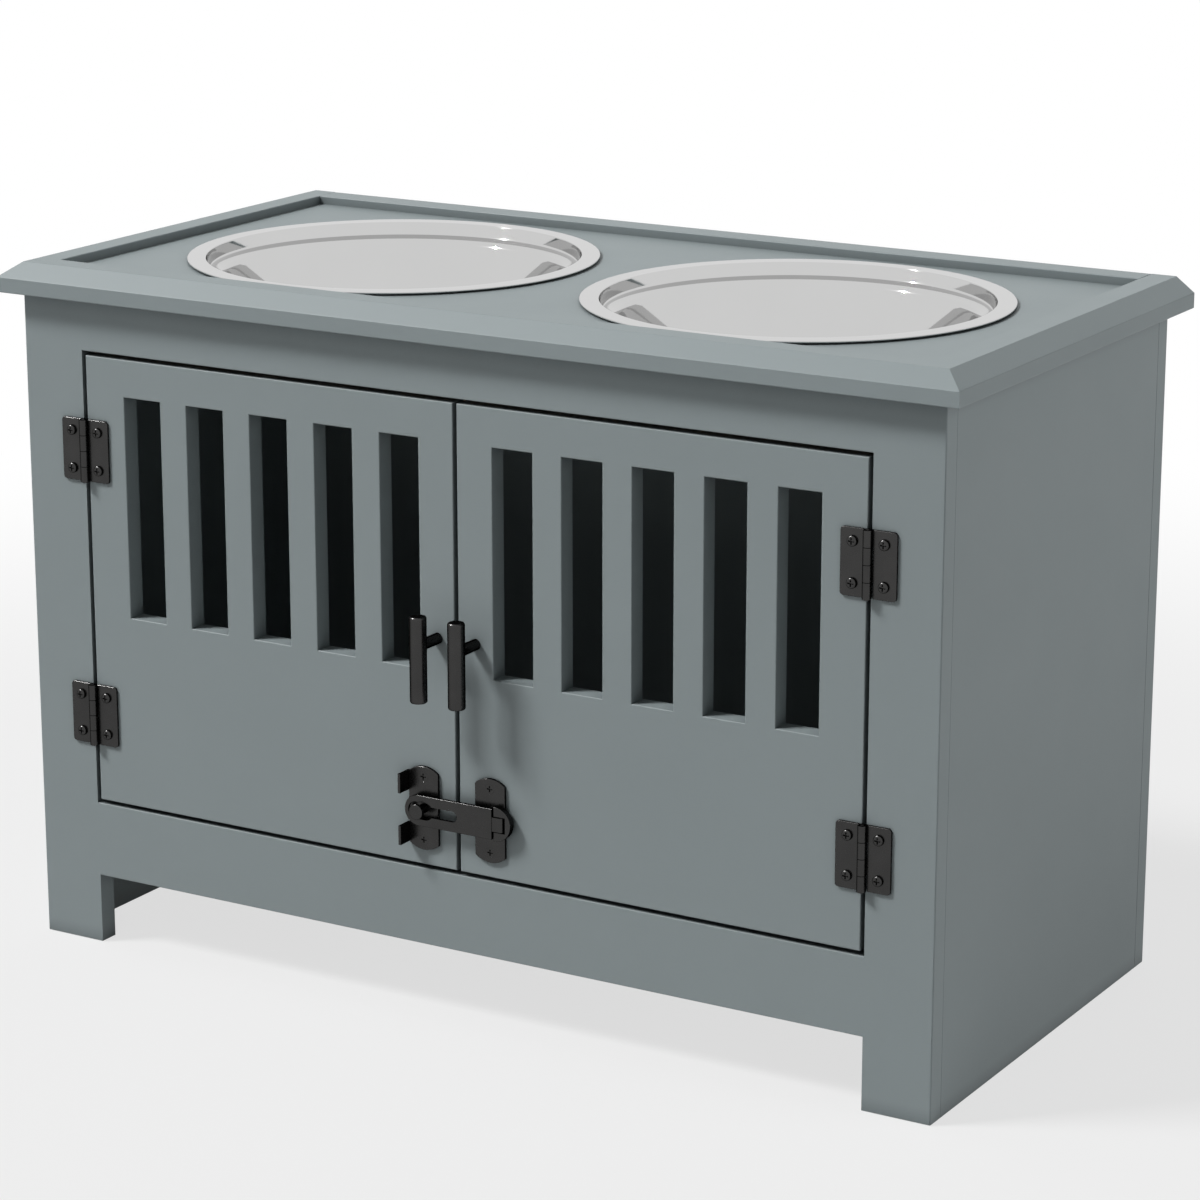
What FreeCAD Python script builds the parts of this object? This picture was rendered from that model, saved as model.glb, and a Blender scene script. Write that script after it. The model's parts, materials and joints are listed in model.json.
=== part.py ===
# Dog food storage cabinet: a two-door cupboard with a pair of lift-out bowls sunk in its top.
# Millimetres. +X is the viewer's right, +Y the back, +Z up.
# The origin is on the floor, under the middle of the object's overall box.
import FreeCAD, Part
import math
import os

V = FreeCAD.Vector

# Bowls: together with their margins they set the plan size of the top
bowl_rim_diameter = 237.0
bowl_rim_width = 10.7
bowl_rim_height = 1.8
bowl_rim_edge = 0.9
bowl_rim_undercut = 1.6
bowl_rim_round = 0.6
bowl_depth = 66.0
bowl_neck_depth = 7.0
bowl_neck_taper = 1.3
bowl_neck_round = 1.4
bowl_ledge_width = 8.0
bowl_ledge_drop = 3.4
bowl_shoulder_round = 4.0
bowl_floor_diameter = 163.0
bowl_floor_round = 16.0
bowl_wall = 1.0
bowl_seat_gap = 0.2
bowl_hole_clearance = 1.0
bowl_gap = 25.0
bowl_side_margin = 24.5
bowl_front_margin = 6.5
bowl_back_margin = 13.5

# Top: a sunk deck inside a raised border, chamfered on the front and the sides
border_side = 26.0
border_front = 26.0
border_back = 17.0
border_chamfer_run = 11.0
border_nose_height = 8.7
border_round = 0.7
recess_depth = 5.0
side_overhang = 11.0
front_overhang = 10.0
back_overhang = 10.0

# Body boards
board = 12.0
board_round = 0.8
seam_bevel = 0.35
stile_width = 40.0
foot_height = 41.0
bottom_rail_height = 44.5
opening_height = 267.5
top_rail_height = 30.0
stop_strip_depth = 12.0
stop_strip_lap = 10.0
cleat = 18.0

# Doors
door_gap = 2.5
door_stop_gap = 0.5
door_round = 0.6
slot_width = 25.0
slot_length = 128.5
slot_pitch = 43.0
slot_top_margin = 21.5
slot_side_margin = 20.0
slot_shift = 2.0

# Dowels and cleat screws hidden in the boards
dowel_radius = 3.0
dowel_depth = 8.0
dowel_length = 24.0
rail_end_dowels = 2
panel_edge_dowels = 3
cleat_side_screws = 3
cleat_board_screws = 2
fit_clearance = 0.05
hole_extra = 0.5
cleat_screw_radius = 1.75
cleat_screw_head = 3.4
cleat_screw_bite = 8.0

# Small rounding on the front edges of hinge leaves and latch
metal_round = 0.35

# Surface hinges
hinge_width = 32.0
hinge_height = 36.0
hinge_leaf = 1.4
hinge_corner = 2.0
hinge_knuckle_radius = 2.5
hinge_pin_radius = 1.25
hinge_pin_proud = 0.6
hinge_knuckles = 4
hinge_knuckle_gap = 0.35
hinge_screw_out = 9.0
hinge_screw_rise = 11.0
upper_hinge_drop = 54.7
lower_hinge_rise = 51.7
face_screw_radius = 1.5
face_screw_head = 2.9
face_screw_head_height = 1.7
face_screw_bite = 8.0
recess_width = 0.8
recess_depth_share = 0.6
recess_span_share = 0.6
screw_dome_share = 0.6

# Handles: a vertical bar on one post, fixed from inside the door
handle_length = 48.5
handle_bar_radius = 4.8
handle_bar_round = 1.2
handle_standoff = 19.2
handle_post_radius = 3.2
handle_post_rise = 7.25
handle_socket = 3.0
handle_edge_inset = 10.95
handle_drop = 138.75
handle_screw_radius = 2.0
handle_screw_head = 4.0
handle_screw_head_height = 2.4
handle_screw_grip = 9.0

# Swing-bar latch across the two doors
latch_inset = 20.25
latch_rise = 33.0
latch_plate_width = 19.0
latch_plate_height = 48.0
latch_plate_crown = 3.5
latch_plate = 1.8
latch_screw_rise = 18.2
latch_tab_reach = 10.5
latch_tab_height = 11.1
latch_tab = 1.5
latch_bend = 1.2
stud_radius = 2.75
stud_head_radius = 4.3
stud_head_height = 2.2
stud_head_round = 0.5
stud_reach = 10.2
bar_height = 17.5
bar_thickness = 2.0
bar_standoff = 4.5
bar_left_overlap = 9.3
bar_end_gap = 0.8
keyhole_width = 16.2
keyhole_height = 10.0
keyhole_room = 2.7
keyhole_slot_height = 6.2
keyhole_slot_length = 15.5
swivel_radius = 9.75
swivel_offset = 5.5
swivel_pin_offset = 8.5
swivel_pin_height = 4.2
swivel_pin_radius = 1.0
swivel_pin_margin = 0.9
swivel_base_top = 3.9
swivel_cheek_top = 5.8
swivel_cheek_start = 4.7
swivel_pocket_floor = 1.9
tongue_height = 8.0
tongue_eye_wall = 1.05
tongue_side_gap = 0.6
tongue_end_gap = 1.6

# Levels and plan sizes worked out from the values above
rim_radius = bowl_rim_diameter / 2
deck_width = 2 * bowl_rim_diameter + bowl_gap + 2 * bowl_side_margin
deck_depth = bowl_rim_diameter + bowl_front_margin + bowl_back_margin
top_width = deck_width + 2 * border_side
top_depth = deck_depth + border_front + border_back
body_width = top_width - 2 * side_overhang
body_depth = top_depth - front_overhang - back_overhang
floor_top = foot_height + bottom_rail_height
opening_top = floor_top + opening_height
body_height = opening_top + top_rail_height
deck_top = body_height + board
top_height = deck_top + recess_depth

handle_reach = handle_standoff + handle_bar_radius
front_reach = max(handle_reach, front_overhang)
overall_depth = front_reach + body_depth + back_overhang
face_y = front_reach - overall_depth / 2
inner_y = face_y + board
rear_y = face_y + body_depth
back_y = rear_y - board
half_top = top_width / 2
half_body = body_width / 2
half_inside = half_body - board
stile_x = half_body - stile_width

door_left = door_gap / 2
door_right = stile_x - door_gap
door_width = door_right - door_left
door_bottom = floor_top + door_gap
door_top = opening_top - door_gap
door_back = face_y + board - door_stop_gap
handle_x = door_left + handle_edge_inset
handle_z = door_top - handle_drop
latch_x = door_left + latch_inset
latch_z = door_bottom + latch_rise
hinge_x = stile_x - door_gap / 2
hinge_y = face_y - hinge_knuckle_radius
hinge_levels = {"upper": door_top - upper_hinge_drop, "lower": door_bottom + lower_hinge_rise}

TINY = 1e-4
RIGHT = V(1, 0, 0)
BACK = V(0, 1, 0)
UP = V(0, 0, 1)
nodes = {}


def add(name, *solids):
    """Keep one or more solids as a named piece."""
    nodes.setdefault(name, []).extend(solids)


def block(x0, x1, y0, y1, z0, z1):
    """A board between two corners."""
    return Part.makeBox(x1 - x0, y1 - y0, z1 - z0, V(x0, y0, z0))


def rod(start, direction, radius, length):
    """A round bar from a point along a direction."""
    return Part.makeCylinder(radius, length, start, direction)


def prism(points, sweep):
    """A straight-sided solid on a closed outline."""
    return Part.Face(Part.makePolygon(points + points[:1])).extrude(sweep)


def mirrored(shape):
    """The same shape on the other side of the middle plane."""
    return shape.mirror(V(0, 0, 0), RIGHT)


def lies_on(edge, **planes):
    """True where an edge lies in every named plane, such as X=12."""
    box = edge.BoundBox
    return all(
        abs(getattr(box, axis + end) - level) < TINY
        for axis, level in planes.items()
        for end in ("Min", "Max")
    )


def rounded(shape, radius, *plane_sets):
    """Round the edges that lie in any of the given sets of planes."""
    chosen = [edge for edge in shape.Edges if any(lies_on(edge, **planes) for planes in plane_sets)]
    return shape.makeFillet(radius, chosen)


def bevelled(shape, size, *plane_sets):
    """Bevel the edges that lie in any of the given sets of planes."""
    chosen = [edge for edge in shape.Edges if any(lies_on(edge, **planes) for planes in plane_sets)]
    return shape.makeChamfer(size, chosen)


def spread(low, high, count):
    """Evenly spaced places, half a step in from both ends."""
    step = (high - low) / count
    return [low + step * (index + 0.5) for index in range(count)]


def turned(shape, point, direction):
    """A shape made along +Z, set at a point along a direction."""
    placed = shape.copy()
    placed.Placement = FreeCAD.Placement(point, FreeCAD.Rotation(UP, direction))
    return placed


def cross_recess(span, depth):
    """The cutter for a cross-shaped driver recess, from z = 0 upwards."""
    arm = block(-span, span, -recess_width / 2, recess_width / 2, 0, depth)
    return arm.fuse(block(-recess_width / 2, recess_width / 2, -span, span, 0, depth))


def pan_screw(point, direction, radius, head_radius, head_height, length):
    """A domed screw whose head stands on the surface at the point."""
    head = rod(V(0, 0, -head_height), UP, head_radius, head_height)
    head = rounded(head, head_height * screw_dome_share, {"Z": -head_height})
    shape = head.fuse(rod(V(0, 0, 0), UP, radius, length)).removeSplitter()
    depth = head_height * recess_depth_share
    recess = cross_recess(head_radius * recess_span_share, depth)
    recess.translate(V(0, 0, -head_height))
    return turned(shape.cut(recess), point, direction)


def flush_screw(point, direction, radius, head_radius, length):
    """A countersunk screw whose head is level with the surface at the point."""
    sink = head_radius - radius
    shape = Part.makeCone(head_radius, radius, sink).fuse(rod(V(0, 0, 0), UP, radius, length))
    recess = cross_recess(head_radius * recess_span_share, sink * recess_depth_share)
    return turned(shape.removeSplitter().cut(recess), point, direction)


def flush_hole(point, direction, radius, head_radius, length):
    """The hole for a countersunk screw."""
    sink = head_radius - radius
    wide = radius + fit_clearance
    cone = Part.makeCone(head_radius + fit_clearance, wide, sink)
    shape = cone.fuse(rod(V(0, 0, 0), UP, wide, length + hole_extra))
    return turned(shape, point, direction)


def dowel_pair(joint, direction, depth):
    """A dowel that reaches back by a depth from a joint, and the hole for it in both boards."""
    start = joint - direction * depth
    peg = rod(start, direction, dowel_radius, dowel_length)
    hole_start = start - direction * hole_extra
    hole = rod(hole_start, direction, dowel_radius + fit_clearance, dowel_length + 2 * hole_extra)
    return peg, hole


def make_carcass():
    """Side panels, face frame, back and floor, with the dowels that line them up."""
    pegs = []
    holes = []
    for rail_low, rail_high in ((foot_height, floor_top), (opening_top, body_height)):
        for z in spread(rail_low, rail_high, rail_end_dowels):
            joint = V(stile_x, face_y + board / 2, z)
            peg, hole = dowel_pair(joint, RIGHT, dowel_length / 2)
            pegs.append(peg)
            holes.append(hole)
    rail_holes = Part.makeCompound(holes)
    add("rail_dowels", *pegs, *[mirrored(peg) for peg in pegs])

    pegs = []
    holes = []
    for z in spread(0, body_height, panel_edge_dowels):
        for joint_y, direction in ((inner_y, BACK), (back_y, -BACK)):
            joint = V(half_body - board / 2, joint_y, z)
            peg, hole = dowel_pair(joint, direction, dowel_depth)
            pegs.append(peg)
            holes.append(hole)
    panel_holes = Part.makeCompound(holes)
    add("panel_dowels", *pegs, *[mirrored(peg) for peg in pegs])

    stile = block(stile_x, half_body, face_y, inner_y, 0, body_height)
    stile = rounded(stile, board_round, {"X": half_body, "Y": face_y})
    stile = stile.cut(rail_holes).cut(panel_holes)
    side = block(half_inside, half_body, inner_y, back_y, 0, body_height)
    side = bevelled(side, seam_bevel, {"X": half_body, "Y": inner_y}, {"X": half_body, "Y": back_y})
    side = side.cut(panel_holes)
    both_rail_holes = [rail_holes, mirrored(rail_holes)]
    top_rail = block(-stile_x, stile_x, face_y, inner_y, opening_top, body_height)
    top_rail = rounded(top_rail, door_round, {"Y": face_y, "Z": opening_top}).cut(both_rail_holes)
    bottom_rail = block(-stile_x, stile_x, face_y, inner_y, foot_height, floor_top)
    bottom_rail = rounded(
        bottom_rail, door_round, {"Y": face_y, "Z": floor_top}, {"Y": face_y, "Z": foot_height}
    ).cut(both_rail_holes)
    back = block(-half_body, half_body, back_y, rear_y, 0, body_height)
    back = rounded(back, board_round, {"X": half_body, "Y": rear_y}, {"X": -half_body, "Y": rear_y})
    back = back.cut([panel_holes, mirrored(panel_holes)])
    return stile, side, top_rail, bottom_rail, back


def make_cleats(side, deck, floor):
    """Strips that tie the sides to the deck and the floor board, with their screws."""
    screw = (cleat_screw_radius, cleat_screw_head, cleat + cleat_screw_bite)
    levels = {"top": body_height - cleat, "floor": floor_top - board - cleat}
    starts = {"top": inner_y + stop_strip_depth, "floor": inner_y}
    for level, base in levels.items():
        strip = block(half_inside - cleat, half_inside, starts[level], back_y, base, base + cleat)
        screws = [
            (V(half_inside - cleat, y, base + cleat / 2), RIGHT)
            for y in spread(starts[level], back_y, cleat_side_screws)
        ] + [
            (V(half_inside - cleat / 2, y, base), UP)
            for y in spread(starts[level], back_y, cleat_board_screws)
        ]
        holes = Part.makeCompound([flush_hole(*place, *screw) for place in screws])
        strip = strip.cut(holes)
        side = side.cut(holes)
        if level == "top":
            deck = deck.cut([holes, mirrored(holes)])
        else:
            floor = floor.cut([holes, mirrored(holes)])
        solids = [flush_screw(*place, *screw) for place in screws]
        add("right_" + level + "_cleat", strip)
        add("left_" + level + "_cleat", mirrored(strip))
        add("cleat_screws", *solids, *[mirrored(solid) for solid in solids])
    return side, deck, floor


def border_length(outline, sweep, mitre, *edges):
    """One length of border: its section swept and rounded, then cut to its mitred plan."""
    length = rounded(prism(outline, sweep), border_round, *edges)
    return length.common(prism(mitre, UP * top_height))


def make_top():
    """The sunk deck with its two holes, and the raised border: front and sides mitred, back butted."""
    front = face_y - front_overhang
    rear = front + top_depth
    deck_front = front + border_front
    deck_rear = rear - border_back
    half_deck = deck_width / 2
    nose_top = body_height + border_nose_height
    slope_y = front + border_chamfer_run
    slope_x = half_top - border_chamfer_run
    front_outline = [
        V(-half_top, front, body_height), V(-half_top, front, nose_top),
        V(-half_top, slope_y, top_height), V(-half_top, deck_front, top_height),
        V(-half_top, deck_front, body_height),
    ]
    front_plan = [V(-half_top, front, 0), V(half_top, front, 0),
                  V(half_deck, deck_front, 0), V(-half_deck, deck_front, 0)]
    add("border_front", border_length(
        front_outline, RIGHT * top_width, front_plan,
        {"Y": front, "Z": body_height}, {"Y": front, "Z": nose_top},
        {"Y": slope_y, "Z": top_height}, {"Y": deck_front, "Z": top_height},
    ))
    side_outline = [
        V(half_top, front, body_height), V(half_top, front, nose_top),
        V(slope_x, front, top_height), V(half_deck, front, top_height),
        V(half_deck, front, body_height),
    ]
    side_plan = [V(half_top, front, 0), V(half_top, rear, 0),
                 V(half_deck, rear, 0), V(half_deck, deck_front, 0)]
    side = border_length(
        side_outline, BACK * top_depth, side_plan,
        {"X": half_top, "Z": body_height}, {"X": half_top, "Z": nose_top},
        {"X": slope_x, "Z": top_height}, {"X": half_deck, "Z": top_height},
    )
    add("border_right", side)
    add("border_left", mirrored(side))
    back = block(-half_deck, half_deck, deck_rear, rear, body_height, top_height)
    add("border_back", rounded(back, border_round, {"Y": deck_rear, "Z": top_height},
                               {"Y": rear, "Z": top_height}))

    deck = block(-half_deck, half_deck, deck_front, deck_rear, body_height, deck_top)
    bowl_y = deck_front + bowl_front_margin + rim_radius
    hole_radius = rim_radius - bowl_rim_width + bowl_wall + bowl_hole_clearance
    hole = rod(V(bowl_x, bowl_y, body_height), UP, hole_radius, board)
    return deck.cut([hole, mirrored(hole)]), bowl_y


def lathe(*corners):
    """A solid of revolution about +Z whose half section runs through (radius, height) corners."""
    points = [V(radius, 0, height) for radius, height in corners]
    return Part.Face(Part.makePolygon(points + points[:1])).revolve(V(0, 0, 0), UP, 360)


def make_bowl(bowl_y):
    """A pressed bowl: flat rim, short neck, sloping ledge, steep wall and a flat floor with a round corner."""
    seat = deck_top + bowl_seat_gap
    rim_top = seat + bowl_rim_height
    neck_top = rim_radius - bowl_rim_width
    neck_low = neck_top - bowl_neck_taper
    body = neck_low - bowl_ledge_width
    ledge_top = rim_top - bowl_neck_depth
    ledge_low = ledge_top - bowl_ledge_drop
    floor_r = bowl_floor_diameter / 2
    floor_z = rim_top - bowl_depth
    inside = lathe((0, floor_z), (floor_r, floor_z), (body, ledge_low), (neck_low, ledge_top),
                   (neck_top, rim_top), (0, rim_top))
    inside = rounded(inside, bowl_floor_round, {"Z": floor_z})
    inside = rounded(inside, bowl_shoulder_round, {"Z": ledge_low})
    inside = rounded(inside, bowl_neck_round, {"Z": ledge_top})
    wall = bowl_wall
    outside = lathe((0, floor_z - wall), (floor_r + wall, floor_z - wall), (body + wall, ledge_low - wall),
                    (neck_low + wall, ledge_top - wall), (neck_top + wall, seat),
                    (rim_radius - bowl_rim_undercut, seat), (rim_radius, rim_top - bowl_rim_edge),
                    (rim_radius, rim_top), (0, rim_top))
    outside = rounded(outside, bowl_floor_round + wall, {"Z": floor_z - wall})
    outside = rounded(outside, bowl_shoulder_round - wall, {"Z": ledge_low - wall})
    outside = rounded(outside, bowl_neck_round + wall, {"Z": ledge_top - wall})
    bowl = rounded(outside.cut(inside), bowl_rim_round, {"Z": rim_top})
    bowl.translate(V(bowl_x, bowl_y, 0))
    return bowl


def make_door():
    """The right door's panel with its row of slots."""
    panel = block(door_left, door_right, face_y, door_back, door_bottom, door_top)
    room = door_width - 2 * slot_side_margin - slot_width
    count = int(room // slot_pitch) + 1
    first = (door_left + door_right) / 2 - slot_shift - slot_pitch * (count - 1) / 2
    slot_top = door_top - slot_top_margin
    for index in range(count):
        x = first + slot_pitch * index
        slot = block(x - slot_width / 2, x + slot_width / 2, face_y, door_back,
                     slot_top - slot_length, slot_top)
        panel = panel.cut(slot)
    return rounded(panel, door_round, {"Y": face_y})


def make_hinge(z, for_door):
    """One leaf of a right-hand hinge with its own knuckles, for the door or for the stile."""
    away = -1 if for_door else 1
    low = z - hinge_height / 2
    clear = hinge_knuckle_radius + hinge_knuckle_gap
    ends = sorted((hinge_x + away * clear, hinge_x + away * hinge_width / 2))
    leaf = block(*ends, face_y - hinge_leaf, face_y, low, low + hinge_height)
    tip = hinge_x + away * hinge_width / 2
    leaf = rounded(leaf, hinge_corner, {"X": tip, "Z": low}, {"X": tip, "Z": low + hinge_height})
    leaf = rounded(leaf, metal_round, {"X": tip, "Y": face_y - hinge_leaf})
    step = (hinge_height + hinge_knuckle_gap) / hinge_knuckles
    for index in range(0 if for_door else 1, hinge_knuckles, 2):
        base = low + step * index
        tall = step - hinge_knuckle_gap
        barrel = rod(V(hinge_x, hinge_y, base), UP, hinge_knuckle_radius, tall)
        strap_ends = sorted((hinge_x, hinge_x + away * clear))
        strap = block(*strap_ends, face_y - hinge_leaf, face_y, base, base + tall)
        leaf = leaf.fuse([barrel, strap])
    bore = rod(V(hinge_x, hinge_y, low), UP, hinge_pin_radius + fit_clearance, hinge_height)
    holes = []
    screws = []
    for rise in (-hinge_screw_rise, hinge_screw_rise):
        place = V(hinge_x + away * hinge_screw_out, face_y - hinge_leaf, z + rise)
        length = hinge_leaf + face_screw_bite
        holes.append(rod(place, BACK, face_screw_radius + fit_clearance, length + hole_extra))
        screws.append(pan_screw(place, BACK, face_screw_radius, face_screw_head,
                                face_screw_head_height, length))
    return leaf.removeSplitter().cut(bore).cut(holes), screws, holes


def make_handle():
    """The right handle: bar, post and the screw from inside the door, with the holes for them."""
    bar_y = face_y - handle_standoff
    low = handle_z - handle_length / 2
    bar = rod(V(handle_x, bar_y, low), UP, handle_bar_radius, handle_length)
    bar = rounded(bar, handle_bar_round, {"Z": low}, {"Z": low + handle_length})
    post_z = handle_z + handle_post_rise
    post_start = V(handle_x, bar_y + handle_bar_radius - handle_socket, post_z)
    post_length = face_y - post_start.y
    socket = rod(post_start, BACK, handle_post_radius + fit_clearance, post_length)
    post = rod(post_start, BACK, handle_post_radius, post_length)
    inside = V(handle_x, door_back, post_z)
    length = door_back - face_y + handle_screw_grip
    screw = pan_screw(inside, -BACK, handle_screw_radius, handle_screw_head,
                      handle_screw_head_height, length)
    hole = rod(inside, -BACK, handle_screw_radius + fit_clearance, length + hole_extra)
    return bar.cut(socket), post.cut(hole), screw, hole


def latch_plate_at(x):
    """A flat latch plate on a door, with bowed ends and two countersunk holes."""
    half = latch_plate_width / 2
    edge = latch_plate_height / 2 - latch_plate_crown
    crown = latch_plate_height / 2
    corners = [V(x - half, face_y, latch_z - edge), V(x + half, face_y, latch_z - edge),
               V(x + half, face_y, latch_z + edge), V(x - half, face_y, latch_z + edge)]
    outline = Part.Wire([
        Part.Arc(corners[0], V(x, face_y, latch_z - crown), corners[1]).toShape(),
        Part.makeLine(corners[1], corners[2]),
        Part.Arc(corners[2], V(x, face_y, latch_z + crown), corners[3]).toShape(),
        Part.makeLine(corners[3], corners[0]),
    ])
    plate = Part.Face(outline).extrude(-BACK * latch_plate)
    plate = rounded(plate, metal_round, {"Y": face_y - latch_plate})
    size = (face_screw_radius, face_screw_head, latch_plate + face_screw_bite)
    places = [V(x, face_y - latch_plate, latch_z + rise) for rise in (-latch_screw_rise, latch_screw_rise)]
    holes = [flush_hole(place, BACK, *size) for place in places]
    screws = [flush_screw(place, BACK, *size) for place in places]
    return plate.cut(holes), screws, holes


def make_keeper():
    """The left door's plate with two bent guard tabs, and the headed stud riveted into it."""
    x = -latch_x
    plate, screws, holes = latch_plate_at(x)
    left = x - latch_plate_width / 2
    edge = latch_plate_height / 2 - latch_plate_crown
    for low in (latch_z + edge - latch_tab_height, latch_z - edge):
        tab = block(left - latch_tab, left, face_y - latch_tab_reach, face_y, low, low + latch_tab_height)
        tab = rounded(tab, latch_bend, {"X": left - latch_tab, "Y": face_y})
        plate = plate.fuse(tab)
    tail = V(x, face_y, latch_z)
    stud = rod(tail, -BACK, stud_radius, stud_reach)
    head_start = V(x, face_y - stud_reach, latch_z)
    head = rod(head_start, BACK, stud_head_radius, stud_head_height)
    head = rounded(head, stud_head_round, {"Y": head_start.y})
    plate = plate.removeSplitter().cut(rod(tail, -BACK, stud_radius + fit_clearance, latch_plate))
    return plate, stud.fuse(head).removeSplitter(), screws, holes


def obround(x0, x1, height, y0, y1):
    """A slot-shaped solid with round ends, lying along X at the latch's level."""
    radius = height / 2
    low = V(x0 + radius, y0, latch_z)
    high = V(x1 - radius, y0, latch_z)
    deep = y1 - y0
    middle = block(low.x, high.x, y0, y1, latch_z - radius, latch_z + radius)
    return middle.fuse([rod(low, BACK, radius, deep), rod(high, BACK, radius, deep)]).removeSplitter()


def make_swivel():
    """The right door's plate with the round boss that carries the bar's pin, and the pin."""
    plate, screws, holes = latch_plate_at(latch_x)
    centre_x = latch_x + swivel_offset
    foot = V(centre_x, face_y - latch_plate, latch_z)
    base = rod(foot, -BACK, swivel_radius, swivel_base_top - latch_plate)
    cheek = rod(foot, -BACK, swivel_radius, swivel_cheek_top - latch_plate)
    cheek_x = latch_x + swivel_cheek_start
    far_x = centre_x + swivel_radius
    cheek = cheek.common(block(cheek_x, far_x, face_y - swivel_cheek_top, face_y,
                               latch_z - swivel_radius, latch_z + swivel_radius))
    cheek = rounded(cheek, metal_round, {"Y": face_y - swivel_cheek_top})
    pocket_half = tongue_height / 2 + tongue_side_gap
    pocket_end = swivel_pin_x + swivel_pin_radius + tongue_eye_wall + tongue_end_gap
    eye_room = swivel_pin_radius + tongue_eye_wall + tongue_side_gap
    pocket = block(swivel_pin_x - eye_room, pocket_end,
                   face_y - swivel_cheek_top, face_y - swivel_pocket_floor,
                   latch_z - pocket_half, latch_z + pocket_half)
    mouth = block(cheek_x, pocket_end, face_y - swivel_cheek_top, face_y - swivel_base_top,
                  latch_z - pocket_half, latch_z + pocket_half)
    body = plate.fuse([base, cheek]).removeSplitter()
    reach = math.sqrt(swivel_radius ** 2 - (swivel_pin_x - centre_x) ** 2) - swivel_pin_margin
    pin_start = V(swivel_pin_x, face_y - swivel_pin_height, latch_z - reach)
    pin = rod(pin_start, UP, swivel_pin_radius, 2 * reach)
    bore = rod(pin_start, UP, swivel_pin_radius + fit_clearance, 2 * reach)
    return body.cut([pocket, mouth]).cut(holes).cut(bore), pin, screws, holes


def make_latch_bar():
    """The swing bar: round tip, keyhole over the stud, and a tongue curled round the pin."""
    front = face_y - bar_standoff - bar_thickness
    rear = face_y - bar_standoff
    tip = -latch_x - bar_left_overlap
    end = latch_x + swivel_cheek_start - bar_end_gap
    radius = bar_height / 2
    bar = obround(tip, end + radius, bar_height, front, rear)
    bar = bar.common(block(tip, end, front, rear, latch_z - radius, latch_z + radius))
    bar = rounded(bar, metal_round, {"Y": front, "Z": latch_z + radius})
    hole_start = -latch_x - stud_head_radius - keyhole_room
    hole_end = hole_start + keyhole_width
    wide = obround(hole_start, hole_end, keyhole_height, front, rear)
    slot_end = hole_end + keyhole_slot_length
    narrow = obround(hole_end - keyhole_height / 2, slot_end, keyhole_slot_height, front, rear)
    bar = bar.cut([wide, narrow])
    eye_radius = swivel_pin_radius + tongue_eye_wall
    low = latch_z - tongue_height / 2
    eye = rod(V(swivel_pin_x, face_y - swivel_pin_height, low), UP, eye_radius, tongue_height)
    eye_front = face_y - swivel_pin_height - eye_radius
    tongue = block(end, swivel_pin_x, eye_front, rear, low, low + tongue_height)
    bore = rod(V(swivel_pin_x, face_y - swivel_pin_height, low), UP,
               swivel_pin_radius + fit_clearance, tongue_height)
    return bar.fuse([tongue, eye]).removeSplitter().cut(bore)


# Plan places that several pieces share
bowl_x = (bowl_rim_diameter + bowl_gap) / 2
swivel_pin_x = latch_x + swivel_pin_offset

# Cabinet
stile, side, top_rail, bottom_rail, back = make_carcass()
deck, bowl_y = make_top()
floor = block(-half_inside, half_inside, inner_y, back_y, floor_top - board, floor_top)
side, deck, floor = make_cleats(side, deck, floor)
add("right_side_panel", side)
add("left_side_panel", mirrored(side))
add("top_rail", top_rail)
add("bottom_rail", bottom_rail)
add("back_panel", back)
add("floor_panel", floor)
add("bowl_deck", deck)
add("door_stop_strip", block(-half_inside, half_inside, inner_y, inner_y + stop_strip_depth,
                             opening_top - stop_strip_lap, body_height))

# Hinges, their screws and the screw holes in stiles and doors
stile_holes = []
door_holes = []
for level, z in hinge_levels.items():
    frame_leaf, screws, holes = make_hinge(z, for_door=False)
    stile_holes.extend(holes)
    add("right_" + level + "_frame_leaf", frame_leaf)
    add("left_" + level + "_frame_leaf", mirrored(frame_leaf))
    add("frame_hinge_screws", *screws, *[mirrored(screw) for screw in screws])
    door_leaf, screws, holes = make_hinge(z, for_door=True)
    door_holes.extend(holes)
    add("right_" + level + "_door_leaf", door_leaf)
    add("left_" + level + "_door_leaf", mirrored(door_leaf))
    add("right_hinge_screws", *screws)
    add("left_hinge_screws", *[mirrored(screw) for screw in screws])
    pin_start = V(hinge_x, hinge_y, z - hinge_height / 2 - hinge_pin_proud)
    pin = rod(pin_start, UP, hinge_pin_radius, hinge_height + 2 * hinge_pin_proud)
    add("hinge_pins", pin, mirrored(pin))
stile = stile.cut(stile_holes)
add("right_stile", stile)
add("left_stile", mirrored(stile))

# Doors, handles and latch
handle_bar, handle_post, handle_screw, handle_hole = make_handle()
door = make_door().cut(door_holes).cut(handle_hole)
base_plate, latch_pin, base_screws, base_holes = make_swivel()
keeper_plate, stud, keeper_screws, keeper_holes = make_keeper()
add("right_door", door.cut(base_holes))
add("left_door", mirrored(door).cut(keeper_holes))
for name, shape in (("handle_bar", handle_bar), ("handle_post", handle_post), ("handle_screw", handle_screw)):
    add("right_" + name, shape)
    add("left_" + name, mirrored(shape))
add("latch_keeper_plate", keeper_plate)
add("latch_stud", stud)
add("left_latch_screws", *keeper_screws)
add("latch_base_plate", base_plate)
add("latch_pin", latch_pin)
add("right_latch_screws", *base_screws)
add("latch_bar", make_latch_bar())

# Bowls
bowl = make_bowl(bowl_y)
add("right_bowl", bowl)
add("left_bowl", mirrored(bowl))

os.makedirs("parts", exist_ok=True)
for name, solids in nodes.items():
    shape = solids[0] if len(solids) == 1 else Part.makeCompound(solids)
    shape.exportStep("parts/" + name + ".step")
    print(name, len(shape.Solids), shape.isValid(), round(shape.Volume, 1))
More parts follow.
